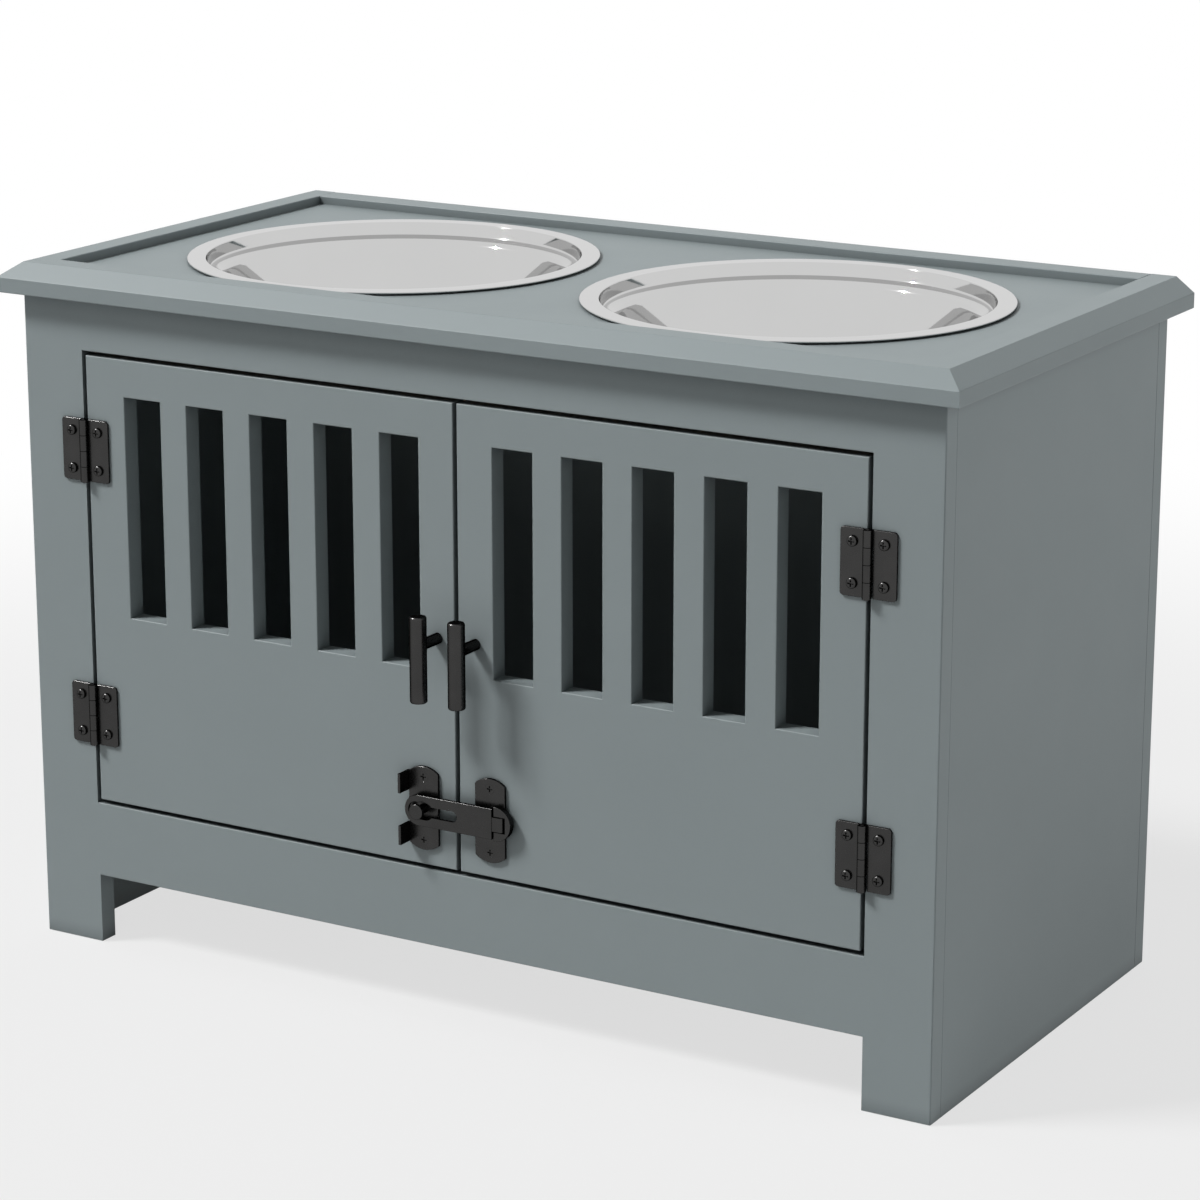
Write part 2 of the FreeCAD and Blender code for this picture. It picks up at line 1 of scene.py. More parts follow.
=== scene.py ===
"""Finishes for a dog food storage cabinet: painted boards, black hardware, steel bowls, a studio.

Metres. +X is the viewer's right, +Y the back, +Z up, as in the packed model.
"""

import json
import math

import bpy
import numpy as np
from bpy.props import FloatProperty, FloatVectorProperty, IntProperty, PointerProperty
from bpy.types import Operator, Panel, PropertyGroup
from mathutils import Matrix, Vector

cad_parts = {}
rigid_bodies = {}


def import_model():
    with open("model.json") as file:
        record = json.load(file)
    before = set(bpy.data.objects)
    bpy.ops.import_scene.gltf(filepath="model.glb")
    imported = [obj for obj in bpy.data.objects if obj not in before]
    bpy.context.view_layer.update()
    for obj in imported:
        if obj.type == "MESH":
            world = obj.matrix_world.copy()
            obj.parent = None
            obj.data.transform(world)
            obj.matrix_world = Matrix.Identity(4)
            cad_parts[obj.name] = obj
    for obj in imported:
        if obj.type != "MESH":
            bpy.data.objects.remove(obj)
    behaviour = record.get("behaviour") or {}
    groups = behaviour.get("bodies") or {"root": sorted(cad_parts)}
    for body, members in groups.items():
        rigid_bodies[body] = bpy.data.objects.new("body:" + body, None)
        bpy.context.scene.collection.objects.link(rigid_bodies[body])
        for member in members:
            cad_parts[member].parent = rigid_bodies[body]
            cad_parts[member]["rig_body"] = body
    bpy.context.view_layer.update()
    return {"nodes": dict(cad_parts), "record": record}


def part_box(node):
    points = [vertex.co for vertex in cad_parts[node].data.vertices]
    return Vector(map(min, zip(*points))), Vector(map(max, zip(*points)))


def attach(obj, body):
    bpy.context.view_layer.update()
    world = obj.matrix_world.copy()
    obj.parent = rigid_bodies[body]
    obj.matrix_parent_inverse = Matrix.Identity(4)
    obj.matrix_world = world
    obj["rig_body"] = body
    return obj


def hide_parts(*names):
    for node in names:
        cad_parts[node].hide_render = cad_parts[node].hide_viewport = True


bl_info = {
    "name": "Dog Food Cabinet Finishes",
    "version": (1, 0, 0),
    "blender": (4, 5, 0),
    "location": "View3D > Sidebar > Cabinet",
    "description": "Paints, plates and dresses a dog food storage cabinet and sets it in a studio",
    "category": "Object",
}

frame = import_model()

# Which nodes take which finish
SLOT_OF = {row["node"]: row["material_slot"] for row in frame["record"]["subparts"]}
SIDES = ("left", "right")

WHITE = (1.0, 1.0, 1.0, 1.0)

# Distance between the bands of Blender's wave texture at a scale of 1
WAVE_PITCH = 2 * math.pi / 20

# Where the lamps stand, from the point that they face: degrees round to the right of the front,
# degrees up, metres away, and the width of the lamp
LAMPS = {
    "key": {"turn": -51.3, "rise": 48.5, "distance": 12.0, "size": 2.6},
    "fill": {"turn": 106.0, "rise": 8.0, "distance": 4.0, "size": 2.0},
    "glint": {"turn": -62.0, "rise": 46.0, "distance": 6.0, "size": 0.12, "highlights": True},
    "back": {"turn": -165.0, "rise": 10.0, "distance": 4.0, "size": 2.0},
}


# Sizes and colours that a user would change

class PaintSettings(PropertyGroup):
    """The satin paint on the boards."""

    colour: FloatVectorProperty(
        name="Paint colour", description="Blue-grey of the boards",
        subtype="COLOR", size=3, min=0, max=1, default=(0.262, 0.302, 0.310))
    mottle: FloatProperty(
        name="Mottle", description="Share by which the paint wanders lighter and darker",
        subtype="FACTOR", min=0, max=1, default=0.035)
    mottle_size: FloatProperty(
        name="Mottle size", description="Width of a lighter or darker cloud in the paint",
        unit="LENGTH", min=0.001, default=0.120)
    roughness: FloatProperty(
        name="Roughness", description="Satin level of the paint",
        subtype="FACTOR", min=0, max=1, default=0.50)
    roughness_swing: FloatProperty(
        name="Roughness swing", description="How far the satin level wanders to either side",
        subtype="FACTOR", min=0, max=1, default=0.05)
    sheen_size: FloatProperty(
        name="Sheen size", description="Width of a duller or glossier cloud in the paint",
        unit="LENGTH", min=0.001, default=0.040)
    gloss: FloatProperty(
        name="Gloss", description="Strength of the paint's reflection",
        subtype="FACTOR", min=0, max=1, default=0.22)
    # Painted shade: how far and how much ambient occlusion darkens the paint's colour in gaps,
    # slots and creases
    painted_shade_reach: FloatProperty(
        name="Cavity reach", description="How far a neighbouring face still shades a gap or slot",
        unit="LENGTH", min=0.001, default=0.010)
    painted_shade_share: FloatProperty(
        name="Cavity shade", description="Share of the paint's colour left deep in a gap",
        subtype="FACTOR", min=0, max=1, default=0.36)
    peel_size: FloatProperty(
        name="Peel size", description="Width of one dimple in the sprayed surface",
        unit="LENGTH", min=0.0001, default=0.0016)
    peel_depth: FloatProperty(
        name="Peel depth", description="Depth of the dimples in the sprayed surface",
        unit="LENGTH", min=0, default=0.00003)


class TimberSettings(PropertyGroup):
    """The bare softwood of cleats, dowels and the stop strip."""

    light_colour: FloatVectorProperty(
        name="Early wood", description="Pale part of the grain",
        subtype="COLOR", size=3, min=0, max=1, default=(0.56, 0.40, 0.23))
    dark_colour: FloatVectorProperty(
        name="Late wood", description="Dark lines of the grain",
        subtype="COLOR", size=3, min=0, max=1, default=(0.34, 0.20, 0.095))
    ring_gap: FloatProperty(
        name="Ring gap", description="From one dark line to the next, before the grain wanders",
        unit="LENGTH", min=0.003, default=0.025133)
    fade_size: FloatProperty(
        name="Fade size", description="Length over which the dark lines fade and come back",
        unit="LENGTH", min=0.001, default=0.050)
    line_depth: FloatProperty(
        name="Line depth", description="Relief of the grain lines",
        unit="LENGTH", min=0, default=0.0001)
    roughness: FloatProperty(
        name="Roughness", description="How dull the early wood is",
        subtype="FACTOR", min=0, max=1, default=0.72)
    line_polish: FloatProperty(
        name="Line polish", description="How much less dull the dark lines are",
        subtype="FACTOR", min=0, max=1, default=0.12)


class HardwareSettings(PropertyGroup):
    """The satin black coat of hinges, handles and latch, and the plated screws inside."""

    coat_colour: FloatVectorProperty(
        name="Coat colour", description="Dark reflection of the blackened metal, seen straight on",
        subtype="COLOR", size=3, min=0, max=1, default=(0.048, 0.0475, 0.047))
    coat_edge: FloatVectorProperty(
        name="Coat edge", description="How much of the reflection is left at a slant",
        subtype="COLOR", size=3, min=0, max=1, default=(0.15, 0.15, 0.15))
    coat_mottle: FloatProperty(
        name="Coat mottle", description="Share by which the coat wanders lighter and darker",
        subtype="FACTOR", min=0, max=1, default=0.15)
    coat_mottle_size: FloatProperty(
        name="Coat mottle size", description="Width of a thin or thick patch of the coat",
        unit="LENGTH", min=0.001, default=0.012)
    coat_roughness: FloatProperty(
        name="Coat roughness", description="Satin level of the black coat",
        subtype="FACTOR", min=0, max=1, default=0.28)
    coat_roughness_swing: FloatProperty(
        name="Coat roughness swing", description="How far the satin level differs over the grit",
        subtype="FACTOR", min=0, max=1, default=0.06)
    grit_size: FloatProperty(
        name="Grit size", description="Width of one grain in the coat",
        unit="LENGTH", min=0.0001, default=0.0007)
    grit_depth: FloatProperty(
        name="Grit depth", description="Height of the grains in the coat",
        unit="LENGTH", min=0, default=0.000012)
    plate_colour: FloatVectorProperty(
        name="Plating colour", description="Zinc of the screws inside the cupboard",
        subtype="COLOR", size=3, min=0, max=1, default=(0.60, 0.61, 0.62))
    bloom_darker: FloatProperty(
        name="Bloom darker", description="Share by which the zinc's bloom darkens it",
        subtype="FACTOR", min=0, max=1, default=0.15)
    bloom_lighter: FloatProperty(
        name="Bloom lighter", description="Share by which the zinc's bloom lightens it",
        subtype="FACTOR", min=0, max=1, default=0.10)
    bloom_size: FloatProperty(
        name="Bloom size", description="Width of a cloud in the zinc",
        unit="LENGTH", min=0.0005, default=0.003)
    plate_roughness: FloatProperty(
        name="Plating roughness", description="How dull the zinc is",
        subtype="FACTOR", min=0, max=1, default=0.36)
    plate_roughness_swing: FloatProperty(
        name="Plating roughness swing", description="How far the dullness wanders to either side",
        subtype="FACTOR", min=0, max=1, default=0.08)


class BowlSettings(PropertyGroup):
    """The pressed steel bowls."""

    steel_colour: FloatVectorProperty(
        name="Steel colour", description="Reflection colour of the polished steel",
        subtype="COLOR", size=3, min=0, max=1, default=(0.59, 0.59, 0.588))
    steel_edge: FloatVectorProperty(
        name="Steel edge", description="How much of the reflection is left at a slant",
        subtype="COLOR", size=3, min=0, max=1, default=(0.89, 0.89, 0.89))
    smear: FloatProperty(
        name="Smear", description="Share by which the steel wanders lighter and darker",
        subtype="FACTOR", min=0, max=1, default=0.015)
    smear_size: FloatProperty(
        name="Smear size", description="Width of a lighter or darker smear on the steel",
        unit="LENGTH", min=0.001, default=0.030)
    roughness: FloatProperty(
        name="Roughness", description="Polish of the steel",
        subtype="FACTOR", min=0, max=1, default=0.045)
    roughness_swing: FloatProperty(
        name="Roughness swing", description="How far the polish differs from ring to ring",
        subtype="FACTOR", min=0, max=1, default=0.018)
    line_gap: FloatProperty(
        name="Polishing lines", description="Distance between the rings left by polishing",
        unit="LENGTH", min=0.0001, default=0.0009)
    line_depth: FloatProperty(
        name="Line depth", description="Depth of the polishing rings",
        unit="LENGTH", min=0, default=0.0000004)
    rim_width: FloatProperty(
        name="Rim width", description="Flat rim that rests on the deck",
        unit="LENGTH", min=0.001, default=0.0107)
    rim_height: FloatProperty(
        name="Rim height", description="Thickness of the folded rim",
        unit="LENGTH", min=0.0002, default=0.0018)
    rim_edge: FloatProperty(
        name="Rim edge", description="Upright part of the rim's outer edge",
        unit="LENGTH", min=0.0001, default=0.0009)
    rim_undercut: FloatProperty(
        name="Rim undercut", description="How far the rim's underside draws back to its seat",
        unit="LENGTH", min=0, default=0.0016)
    neck_depth: FloatProperty(
        name="Neck depth", description="From the rim down to the ledge",
        unit="LENGTH", min=0.001, default=0.0070)
    neck_taper: FloatProperty(
        name="Neck taper", description="How far the neck draws in on its way down",
        unit="LENGTH", min=0, default=0.0013)
    neck_round: FloatProperty(
        name="Neck round", description="Radius between neck and ledge",
        unit="LENGTH", min=0.0001, default=0.0014)
    ledge_width: FloatProperty(
        name="Ledge width", description="How far the sloping ledge draws in",
        unit="LENGTH", min=0.0001, default=0.0080)
    ledge_drop: FloatProperty(
        name="Ledge drop", description="How far the ledge falls towards the middle",
        unit="LENGTH", min=0.0001, default=0.0034)
    shoulder_round: FloatProperty(
        name="Shoulder", description="Radius between the ledge and the steep wall",
        unit="LENGTH", min=0.0011, default=0.0040)
    floor_radius: FloatProperty(
        name="Floor radius", description="Radius at which the wall's line meets the bowl's floor",
        unit="LENGTH", min=0.001, default=0.0815)
    floor_round: FloatProperty(
        name="Floor round", description="Radius between wall and floor",
        unit="LENGTH", min=0.0001, default=0.0160)
    wall: FloatProperty(
        name="Wall", description="Thickness of the steel",
        unit="LENGTH", min=0.0002, default=0.0010)
    edge: FloatProperty(
        name="Edge", description="Radius of the rim's edges",
        unit="LENGTH", min=0.0001, default=0.0005)
    segments: IntProperty(
        name="Segments", description="Steps round the bowl", min=24, default=224)


class HandleSettings(PropertyGroup):
    """The bar of each handle."""

    edge: FloatProperty(
        name="Edge", description="Rounding of the bar's two ends",
        unit="LENGTH", min=0.0001, default=0.0012)
    segments: IntProperty(
        name="Segments", description="Steps round the bar", min=12, default=72)


class StudioSettings(PropertyGroup):
    """Camera, lights and floor."""

    camera_place: FloatVectorProperty(
        name="Camera place", description="Where the camera stands",
        subtype="TRANSLATION", size=3, default=(1.089, -1.818, 0.791))
    camera_turn: FloatProperty(
        name="Camera turn", description="How far the camera stands round to the right",
        subtype="ANGLE", default=math.radians(30.66))
    camera_dip: FloatProperty(
        name="Camera dip", description="How far the camera looks down",
        subtype="ANGLE", default=math.radians(15.31))
    lens: FloatProperty(
        name="Lens", description="Focal length in millimetres",
        unit="CAMERA", min=10, default=115.785)
    sky_light: FloatProperty(
        name="Sky light", description="Strength of the even light from all round",
        min=0, default=0.171)
    lamp_aim: FloatVectorProperty(
        name="Lamp aim", description="Point that every lamp faces",
        subtype="TRANSLATION", size=3, default=(0.0, 0.0, 0.22))
    key_power: FloatProperty(
        name="Key power", description="Soft lamp, upper left in front",
        unit="POWER", min=0, default=1346.0)
    fill_power: FloatProperty(
        name="Fill power", description="Wide soft lamp on the right",
        unit="POWER", min=0, default=36.4)
    glint_power: FloatProperty(
        name="Glint power", description="Small lamp, upper left in front, for highlights alone",
        unit="POWER", min=0, default=680.0)
    back_power: FloatProperty(
        name="Back power", description="Wide soft lamp behind, for the back and the left side",
        unit="POWER", min=0, default=30.0)
    floor_colour: FloatVectorProperty(
        name="Floor colour", description="Pale studio floor",
        subtype="COLOR", size=3, min=0, max=1, default=(0.50, 0.50, 0.50))
    floor_mottle: FloatProperty(
        name="Floor mottle", description="Share by which the floor wanders lighter and darker",
        subtype="FACTOR", min=0, max=1, default=0.01)
    floor_mottle_size: FloatProperty(
        name="Floor mottle size", description="Width of a lighter or darker cloud in the floor",
        unit="LENGTH", min=0.001, default=0.40)
    floor_roughness: FloatProperty(
        name="Floor roughness", description="How dull the floor is",
        subtype="FACTOR", min=0, max=1, default=0.90)
    floor_glow: FloatProperty(
        name="Floor glow", description="Share of plain white in the floor by the cabinet",
        subtype="FACTOR", min=0, max=1, default=0.70)
    shadow_reach: FloatProperty(
        name="Shadow reach", description="From the middle to where the floor starts to turn white",
        unit="LENGTH", min=0.1, default=0.55)
    white_reach: FloatProperty(
        name="White reach", description="From the middle to where the floor is plain white",
        unit="LENGTH", min=0.2, default=1.375)
    floor_reach: FloatProperty(
        name="Floor reach", description="From the middle to the floor's edge",
        unit="LENGTH", min=1, default=9.0)
    floor_gap: FloatProperty(
        name="Floor gap", description="How far the floor lies below the feet",
        unit="LENGTH", min=0, default=0.0004)


# Surfaces worked out on grids

def grid_quads(rows, columns):
    """Four-sided faces of a grid that closes on itself along its columns.

    A face joins a point, the next one in its row, and the two above these.
    """
    low = np.arange(rows - 1)[:, None] * columns
    high = low + columns
    here = np.arange(columns)[None, :]
    after = (here + 1) % columns
    return np.stack([low + here, low + after, high + after, high + here], -1).reshape(-1, 4)


def lathe(profile, segments):
    """Turn a profile about +Z: (r, z) at angle t goes to (r cos t, r sin t, z).

    The profile starts on the axis at the bottom, runs up the outside and ends on the axis.
    """
    turn = np.linspace(0, 2 * np.pi, segments, endpoint=False)
    radius, height = profile[1:-1].T
    ring = np.stack([
        radius[:, None] * np.cos(turn),
        radius[:, None] * np.sin(turn),
        np.repeat(height[:, None], segments, 1),
    ], -1)
    first = np.array([[0, 0, profile[0, 1]]])
    last = np.array([[0, 0, profile[-1, 1]]])
    points = np.vstack([first, ring.reshape(-1, 3), last])
    quads = grid_quads(len(radius), segments) + 1
    here = np.arange(segments)
    after = (here + 1) % segments
    top = 1 + (len(radius) - 1) * segments
    low_fan = np.stack([np.zeros_like(here), 1 + after, 1 + here], -1)
    high_fan = np.stack([np.full_like(here, len(points) - 1), top + here, top + after], -1)
    return points, quads.tolist() + low_fan.tolist() + high_fan.tolist()


def softened(corners, radii, steps=9, longest=0.45, lead=0.03):
    """A profile whose inner corners are swept round by arcs of given radii.

    An arc starts and ends at the radius over the tangent of half the corner's angle, and takes at
    most the longest share of a straight stretch. It is a quadratic curve over the corner whose
    middle weight is the sine of that half angle. A point a small lead outside each end keeps the
    straight stretches flat.
    """
    corners = np.asarray(corners, float)
    corner = corners[1:-1]
    back = corners[:-2] - corner
    ahead = corners[2:] - corner
    back_length = np.linalg.norm(back, axis=1, keepdims=True)
    ahead_length = np.linalg.norm(ahead, axis=1, keepdims=True)
    back = back / back_length
    ahead = ahead / ahead_length
    half_angle = np.arccos(np.sum(back * ahead, 1, keepdims=True)) / 2
    wanted = np.reshape(radii, (-1, 1)) / np.tan(half_angle)
    reach = np.minimum(wanted, longest * np.minimum(back_length, ahead_length))
    lead_in = corner + back * (reach + lead * back_length)
    lead_out = corner + ahead * (reach + lead * ahead_length)
    share = np.linspace(0, 1, steps)[None, :, None]
    first = (1 - share) ** 2
    middle = 2 * share * (1 - share) * np.sin(half_angle)[:, None]
    last = share ** 2
    start = (corner + back * reach)[:, None]
    end = (corner + ahead * reach)[:, None]
    bend = (first * start + middle * corner[:, None] + last * end) / (first + middle + last)
    run = np.concatenate([lead_in[:, None], bend, lead_out[:, None]], 1)
    return np.vstack([corners[:1], run.reshape(-1, 2), corners[-1:]])


def bowl_profile(bowl, base, rim_top, rim_radius):
    """Half section of a bowl, from under its floor round the rim to its floor inside.

    The outer face is the inner one moved out and down by the thickness of the steel.
    """
    wall = bowl.wall
    neck_top = rim_radius - bowl.rim_width
    neck_low = neck_top - bowl.neck_taper
    body = neck_low - bowl.ledge_width
    seat = rim_top - bowl.rim_height
    ledge_top = rim_top - bowl.neck_depth
    ledge_low = ledge_top - bowl.ledge_drop
    floor = base + wall
    outside = [
        (bowl.floor_radius + wall, base), (body + wall, ledge_low - wall),
        (neck_low + wall, ledge_top - wall), (neck_top + wall, seat),
    ]
    rim = [
        (rim_radius - bowl.rim_undercut, seat), (rim_radius, rim_top - bowl.rim_edge),
        (rim_radius, rim_top), (neck_top, rim_top),
    ]
    inside = [(neck_low, ledge_top), (body, ledge_low), (bowl.floor_radius, floor)]
    radii = [
        bowl.floor_round + wall, bowl.shoulder_round - wall, bowl.neck_round + wall, bowl.edge,
        bowl.edge, bowl.edge, bowl.edge, bowl.edge,
        bowl.neck_round, bowl.shoulder_round, bowl.floor_round,
    ]
    return softened([(0.0, base)] + outside + rim + inside + [(0.0, floor)], radii)


def bar_profile(handle, base, top, radius):
    """Half section of a round bar: out along its base, up at one radius and back along its top."""
    corners = [(0.0, base), (radius, base), (radius, top), (0.0, top)]
    return softened(corners, [handle.edge, handle.edge])


def build_piece(name, points, faces, crease=math.radians(35)):
    """A new object at the origin from points and faces, smooth except across sharp creases."""
    mesh = bpy.data.meshes.new(name)
    mesh.from_pydata(points.tolist(), [], faces)
    mesh.update()
    mesh.shade_smooth()
    mesh.set_sharp_from_angle(angle=crease)
    piece = bpy.data.objects.new(name, mesh)
    bpy.context.scene.collection.objects.link(piece)
    return piece


def turn_in_place(name, node, profile, segments, material):
    """Turn a profile about the upright axis of a node's box, and let the piece stand for the node.

    It rides on the same body, with its own finish.
    """
    low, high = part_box(node)
    middle = (low + high) / 2
    points, faces = lathe(profile, segments)
    piece = build_piece(name, points + np.array([middle.x, middle.y, 0.0]), faces)
    piece.data.materials.append(material)
    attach(piece, frame["nodes"][node]["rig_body"])
    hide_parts(node)


# Materials

class Recipe:
    """A material's node tree with one shader, filled in step by step."""

    def __init__(self, name):
        self.material = bpy.data.materials.new(name)
        self.material.use_nodes = True
        self.tree = self.material.node_tree
        self.tree.nodes.clear()
        self.output = self.add("ShaderNodeOutputMaterial")
        self.shader = self.add("ShaderNodeBsdfPrincipled")
        self.feed(self.output.inputs["Surface"], self.shader.outputs["BSDF"])
        self.place = self.add("ShaderNodeTexCoord").outputs["Object"]

    def add(self, kind, inputs=None, **settings):
        """A node with its settings; an input is a plain value or another node's output."""
        made = self.tree.nodes.new(kind)
        for key, value in settings.items():
            setattr(made, key, value)
        for key, value in (inputs or {}).items():
            self.feed(made.inputs[key], value)
        return made

    def feed(self, socket, value):
        """Set a socket to a plain value, or link it to another node's output."""
        if isinstance(value, bpy.types.NodeSocket):
            self.tree.links.new(value, socket)
        else:
            socket.default_value = value

    def set(self, **inputs):
        """Values or links for the shader; a name's underscores are spaces."""
        for key, value in inputs.items():
            self.feed(self.shader.inputs[key.replace("_", " ")], value)

    def product(self, first, second):
        """One number times another."""
        return self.add("ShaderNodeMath", {0: first, 1: second}, operation="MULTIPLY").outputs[0]

    def vector(self, operation, inputs, result="Vector"):
        """One sum on vectors."""
        return self.add("ShaderNodeVectorMath", inputs, operation=operation).outputs[result]

    def noise(self, size, detail):
        """A cloudy value from 0 to 1 whose clouds are about one size across."""
        inputs = {"Vector": self.place, "Scale": 1 / size, "Detail": detail}
        return self.add("ShaderNodeTexNoise", inputs).outputs["Fac"]

    def spread(self, value, low, high):
        """A value from 0 to 1 carried to a range."""
        inputs = {"Value": value, "To Min": low, "To Max": high}
        return self.add("ShaderNodeMapRange", inputs).outputs["Result"]

    def wander(self, value, middle, swing):
        """A value from 0 to 1 carried to a range that reaches a swing to each side of a middle."""
        return self.spread(value, middle - swing, middle + swing)

    def blend(self, share, first, second):
        """One colour over another by a share."""
        made = self.add("ShaderNodeMix", data_type="RGBA")
        sockets = {socket.identifier: socket for socket in made.inputs}
        self.feed(sockets["Factor_Float"], share)
        self.feed(sockets["A_Color"], first)
        self.feed(sockets["B_Color"], second)
        return {socket.identifier: socket for socket in made.outputs}["Result_Color"]

    def clouded(self, cloud, colour, darker, lighter):
        """A colour that a cloudy value carries from a share darker to a share lighter."""
        return self.blend(cloud, opaque(colour, 1 - darker), opaque(colour, 1 + lighter))

    def bump(self, height, depth):
        """Relief of a given depth on the shader's normal."""
        made = self.add("ShaderNodeBump", {"Height": height, "Distance": depth, "Strength": 1.0})
        self.set(Normal=made.outputs["Normal"])


def opaque(colour, gain=1.0):
    """A colour with full alpha, made lighter or darker by a gain."""
    return tuple(channel * gain for channel in colour) + (1.0,)


def seen_rays(tree):
    """1 for a ray of the camera or of a reflection, straight or through glass, and 0 for light."""
    path = tree.nodes.new("ShaderNodeLightPath")
    seen = path.outputs["Is Camera Ray"]
    for ray in ("Is Glossy Ray", "Is Transmission Ray"):
        either = tree.nodes.new("ShaderNodeMath")
        either.operation = "MAXIMUM"
        tree.links.new(seen, either.inputs[0])
        tree.links.new(path.outputs[ray], either.inputs[1])
        seen = either.outputs[0]
    return seen


def satin_paint(paint):
    """Blue-grey sprayed paint with faint clouds and dimples, and painted shade deep in gaps and
    slots.
    """
    recipe = Recipe("satin_paint")
    cloud = recipe.noise(paint.mottle_size, detail=4.0)
    coat = recipe.clouded(cloud, paint.colour, paint.mottle, paint.mottle)
    # Painted shade: ambient occlusion darkens the paint's colour deep in gaps, slots and creases
    occlusion = recipe.add("ShaderNodeAmbientOcclusion", {"Distance": paint.painted_shade_reach}, samples=6)
    shade = recipe.spread(occlusion.outputs["AO"], paint.painted_shade_share, 1.0)
    recipe.set(Base_Color=recipe.vector("SCALE", {0: coat, "Scale": shade}))
    recipe.set(Specular_IOR_Level=paint.gloss)
    sheen = recipe.noise(paint.sheen_size, detail=3.0)
    recipe.set(Roughness=recipe.wander(sheen, paint.roughness, paint.roughness_swing))
    recipe.bump(recipe.noise(paint.peel_size, detail=1.0), paint.peel_depth)
    return recipe.material


def bare_timber(timber):
    """Softwood with grain lines that wander and fade along the piece."""
    recipe = Recipe("bare_timber")
    fade = recipe.noise(timber.fade_size, detail=3.0)
    bands = recipe.add("ShaderNodeTexWave", {
        "Vector": recipe.place, "Scale": WAVE_PITCH / timber.ring_gap, "Distortion": 6.0,
        "Detail": 3.0, "Detail Scale": 1.2,
    }, bands_direction="Z").outputs["Fac"]
    grain = recipe.product(bands, fade)
    wood = recipe.blend(grain, opaque(timber.light_colour), opaque(timber.dark_colour))
    recipe.set(Base_Color=wood)
    smooth = timber.roughness - timber.line_polish
    recipe.set(Roughness=recipe.spread(bands, timber.roughness, smooth))
    recipe.bump(bands, timber.line_depth)
    return recipe.material


def black_coat(hardware):
    """Blackened metal: fine grit, a little lighter where the coat is thin, darker at a slant."""
    recipe = Recipe("black_coat")
    cloud = recipe.noise(hardware.coat_mottle_size, detail=3.0)
    mottle = hardware.coat_mottle
    recipe.set(Base_Color=recipe.clouded(cloud, hardware.coat_colour, mottle, mottle))
    recipe.set(Metallic=1.0, Specular_Tint=opaque(hardware.coat_edge))
    grit = recipe.noise(hardware.grit_size, detail=2.0)
    swing = hardware.coat_roughness_swing
    recipe.set(Roughness=recipe.wander(grit, hardware.coat_roughness, swing))
    recipe.bump(grit, hardware.grit_depth)
    return recipe.material


def zinc_plate(hardware):
    """Dull zinc with a cloudy bloom."""
    recipe = Recipe("zinc_plate")
    bloom = recipe.noise(hardware.bloom_size, detail=4.0)
    zinc = recipe.clouded(
        bloom, hardware.plate_colour, hardware.bloom_darker, hardware.bloom_lighter)
    recipe.set(Base_Color=zinc, Metallic=1.0)
    swing = hardware.plate_roughness_swing
    recipe.set(Roughness=recipe.wander(bloom, hardware.plate_roughness, swing))
    return recipe.material


def polished_steel(bowl, name, centre):
    """Polished steel with faint rings round the bowl's axis."""
    recipe = Recipe(name)
    around = recipe.vector("SUBTRACT", {0: recipe.place, 1: (centre.x, centre.y, 0.0)})
    plan = recipe.vector("MULTIPLY", {0: around, 1: (1.0, 1.0, 0.0)})
    rings = recipe.add("ShaderNodeTexNoise", {
        "W": recipe.vector("LENGTH", {0: plan}, "Value"), "Scale": 1 / bowl.line_gap, "Detail": 2.0,
    }, noise_dimensions="1D").outputs["Fac"]
    smears = recipe.noise(bowl.smear_size, detail=3.0)
    recipe.set(Base_Color=recipe.clouded(smears, bowl.steel_colour, bowl.smear, bowl.smear))
    recipe.set(Metallic=1.0, Specular_Tint=opaque(bowl.steel_edge))
    recipe.set(Roughness=recipe.wander(rings, bowl.roughness, bowl.roughness_swing))
    recipe.bump(rings, bowl.line_depth)
    return recipe.material


def studio_floor(studio):
    """Pale floor that keeps the shadow near the cabinet and runs out to plain white further off."""
    recipe = Recipe("studio_floor")
    cloud = recipe.noise(studio.floor_mottle_size, detail=2.0)
    mottle = studio.floor_mottle
    recipe.set(Base_Color=recipe.clouded(cloud, studio.floor_colour, mottle, mottle))
    recipe.set(Roughness=studio.floor_roughness)
    glow = recipe.add("ShaderNodeMapRange", {
        "Value": recipe.vector("LENGTH", {0: recipe.place}, "Value"),
        "From Min": studio.shadow_reach, "From Max": studio.white_reach,
        "To Min": studio.floor_glow, "To Max": 1.0,
    }, interpolation_type="SMOOTHSTEP").outputs["Result"]
    white = recipe.add("ShaderNodeEmission", {"Color": WHITE, "Strength": 1.0})
    both = recipe.add("ShaderNodeMixShader", {
        0: recipe.product(seen_rays(recipe.tree), glow),
        1: recipe.shader.outputs["BSDF"], 2: white.outputs["Emission"],
    })
    recipe.feed(recipe.output.inputs["Surface"], both.outputs["Shader"])
    return recipe.material


def dress(slot, material):
    """Give one finish to every node whose record names a slot."""
    for name, own in SLOT_OF.items():
        if own == slot:
            mesh = frame["nodes"][name].data
            mesh.materials.clear()
            mesh.materials.append(material)


# Studio

def set_sky(scene, studio):
    """Even light from all round; the camera and reflections see plain white."""
    world = bpy.data.worlds.new("studio_sky")
    scene.world = world
    world.use_nodes = True
    tree = world.node_tree
    sky = tree.nodes["Background"]
    sky.inputs["Color"].default_value = WHITE
    strength = tree.nodes.new("ShaderNodeMapRange")
    strength.inputs["To Min"].default_value = studio.sky_light
    strength.inputs["To Max"].default_value = 1.0
    tree.links.new(seen_rays(tree), strength.inputs["Value"])
    tree.links.new(strength.outputs["Result"], sky.inputs["Strength"])


def lay_floor(studio):
    """A square floor just below the feet."""
    reach = studio.floor_reach
    corners = np.array([(-reach, -reach), (reach, -reach), (reach, reach), (-reach, reach)])
    points = np.column_stack([corners, np.full(len(corners), -studio.floor_gap)])
    floor = build_piece("studio_floor", points, [(0, 1, 2, 3)])
    floor.data.materials.append(studio_floor(studio))


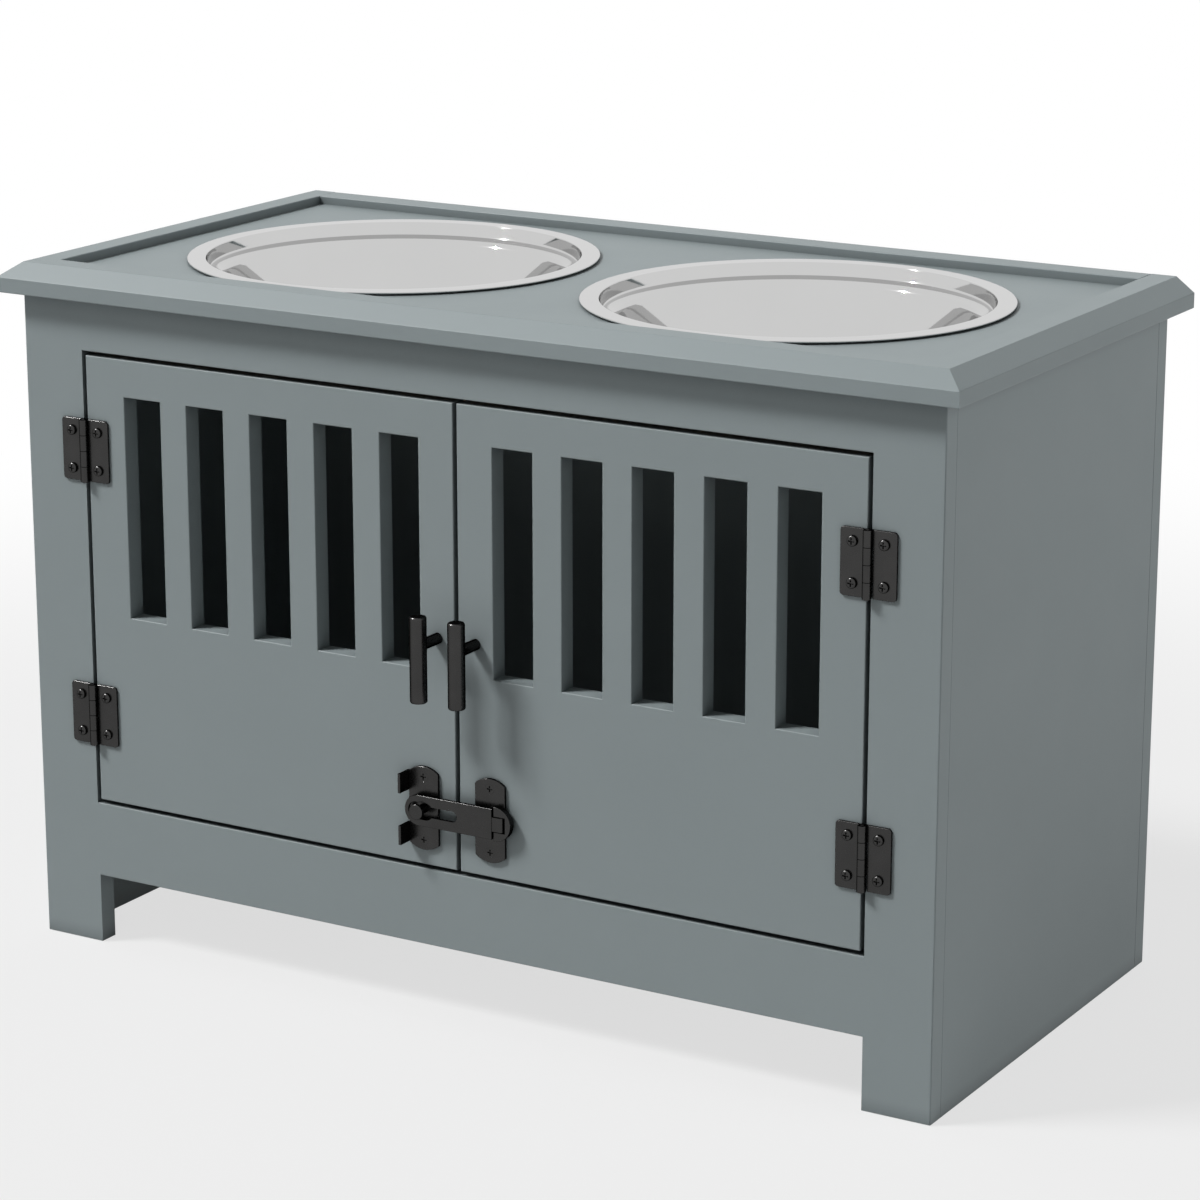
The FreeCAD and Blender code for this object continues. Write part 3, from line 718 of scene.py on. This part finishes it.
def set_lamp(name, power, aim, turn, rise, distance, size, highlights=False):
    """A square lamp that faces a point from a turn round to the right and a rise, in degrees.

    It lights surfaces and no mirror shows it, or it makes highlights and lights nothing else.
    """
    lamp = bpy.data.lights.new(name, "AREA")
    lamp.energy = power
    lamp.size = size
    holder = bpy.data.objects.new(name, lamp)
    turn = math.radians(turn)
    rise = math.radians(rise)
    level = math.cos(rise)
    away = np.array([level * math.sin(turn), -level * math.cos(turn), math.sin(rise)])
    holder.location = np.array(aim) + distance * away
    holder.rotation_euler = (math.pi / 2 - rise, 0, turn)
    holder.visible_diffuse = not highlights
    holder.visible_glossy = highlights
    bpy.context.scene.collection.objects.link(holder)


def set_camera(scene, studio):
    """The camera at its place, turned to the left by its turn and down by its dip."""
    lens = bpy.data.cameras.new("camera")
    lens.lens = studio.lens
    camera = bpy.data.objects.new("camera", lens)
    camera.location = studio.camera_place
    camera.rotation_euler = (math.pi / 2 - studio.camera_dip, 0, studio.camera_turn)
    scene.collection.objects.link(camera)
    scene.camera = camera


# Operators: one for each piece or group of like pieces, and one for the studio

class CABINET_OT_paint_boards(Operator):
    """Paint the boards, the top and the doors"""

    bl_idname = "cabinet.paint_boards"
    bl_label = "Paint Boards"

    def execute(self, context):
        dress("painted_board", satin_paint(context.scene.cabinet_paint))
        return {"FINISHED"}


class CABINET_OT_grain_timber(Operator):
    """Give the hidden strips and dowels their bare wood"""

    bl_idname = "cabinet.grain_timber"
    bl_label = "Grain Timber"

    def execute(self, context):
        dress("raw_wood", bare_timber(context.scene.cabinet_timber))
        return {"FINISHED"}


class CABINET_OT_coat_hardware(Operator):
    """Coat hinges, handles and latch in black, and plate the inner screws"""

    bl_idname = "cabinet.coat_hardware"
    bl_label = "Coat Hardware"

    def execute(self, context):
        hardware = context.scene.cabinet_hardware
        dress("black_hardware", black_coat(hardware))
        dress("zinc_plated", zinc_plate(hardware))
        return {"FINISHED"}


class CABINET_OT_press_bowls(Operator):
    """Press the two bowls: floor, steep wall, ledge, neck and rim turned about each bowl's axis"""

    bl_idname = "cabinet.press_bowls"
    bl_label = "Press Bowls"

    def execute(self, context):
        bowl = context.scene.cabinet_bowls
        for side in SIDES:
            node = side + "_bowl"
            low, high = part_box(node)
            profile = bowl_profile(bowl, low.z, high.z, (high.x - low.x) / 2)
            steel = polished_steel(bowl, side + "_polished_steel", (low + high) / 2)
            turn_in_place(side + "_pressed_bowl", node, profile, bowl.segments, steel)
        return {"FINISHED"}


class CABINET_OT_turn_handles(Operator):
    """Turn the two handle bars, round with softened ends, in the hardware's black coat"""

    bl_idname = "cabinet.turn_handles"
    bl_label = "Turn Handles"

    def execute(self, context):
        handle = context.scene.cabinet_handles
        coat = bpy.data.materials["black_coat"]
        for side in SIDES:
            node = side + "_handle_bar"
            low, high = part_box(node)
            profile = bar_profile(handle, low.z, high.z, (high.x - low.x) / 2)
            turn_in_place(side + "_turned_handle", node, profile, handle.segments, coat)
        return {"FINISHED"}


class CABINET_OT_set_studio(Operator):
    """Set the sky, the floor, the lamps and the camera"""

    bl_idname = "cabinet.set_studio"
    bl_label = "Set Studio"

    def execute(self, context):
        scene = context.scene
        studio = scene.cabinet_studio
        scene.view_settings.view_transform = "Standard"
        set_sky(scene, studio)
        lay_floor(studio)
        for name, place in LAMPS.items():
            power = getattr(studio, name + "_power")
            set_lamp(name + "_lamp", power, studio.lamp_aim, **place)
        set_camera(scene, studio)
        return {"FINISHED"}


class CABINET_PT_finishes(Panel):
    """The steps that finish the cabinet, in order, and what they can be set to"""

    bl_idname = "CABINET_PT_finishes"
    bl_label = "Cabinet Finishes"
    bl_space_type = "VIEW_3D"
    bl_region_type = "UI"
    bl_category = "Cabinet"

    def draw(self, context):
        for step in STEPS:
            self.layout.operator(step.bl_idname)
        for name, kind in SETTINGS.items():
            box = self.layout.box()
            box.label(text=kind.__doc__)
            for key in kind.__annotations__:
                box.prop(getattr(context.scene, name), key)


SETTINGS = {
    "cabinet_paint": PaintSettings,
    "cabinet_timber": TimberSettings,
    "cabinet_hardware": HardwareSettings,
    "cabinet_bowls": BowlSettings,
    "cabinet_handles": HandleSettings,
    "cabinet_studio": StudioSettings,
}
STEPS = (
    CABINET_OT_paint_boards,
    CABINET_OT_grain_timber,
    CABINET_OT_coat_hardware,
    CABINET_OT_press_bowls,
    CABINET_OT_turn_handles,
    CABINET_OT_set_studio,
)


def register():
    """Register the settings, the steps and the panel."""
    for name, kind in SETTINGS.items():
        bpy.utils.register_class(kind)
        setattr(bpy.types.Scene, name, PointerProperty(type=kind))
    for kind in STEPS + (CABINET_PT_finishes,):
        bpy.utils.register_class(kind)


def unregister():
    """Take everything out again."""
    for kind in (CABINET_PT_finishes,) + STEPS[::-1]:
        bpy.utils.unregister_class(kind)
    for name, kind in SETTINGS.items():
        delattr(bpy.types.Scene, name)
        bpy.utils.unregister_class(kind)


def main():
    """Register the settings and steps, then run every step."""
    register()
    for step in STEPS:
        group, call = step.bl_idname.split(".")
        getattr(getattr(bpy.ops, group), call)()


if __name__ == "__main__":
    main()
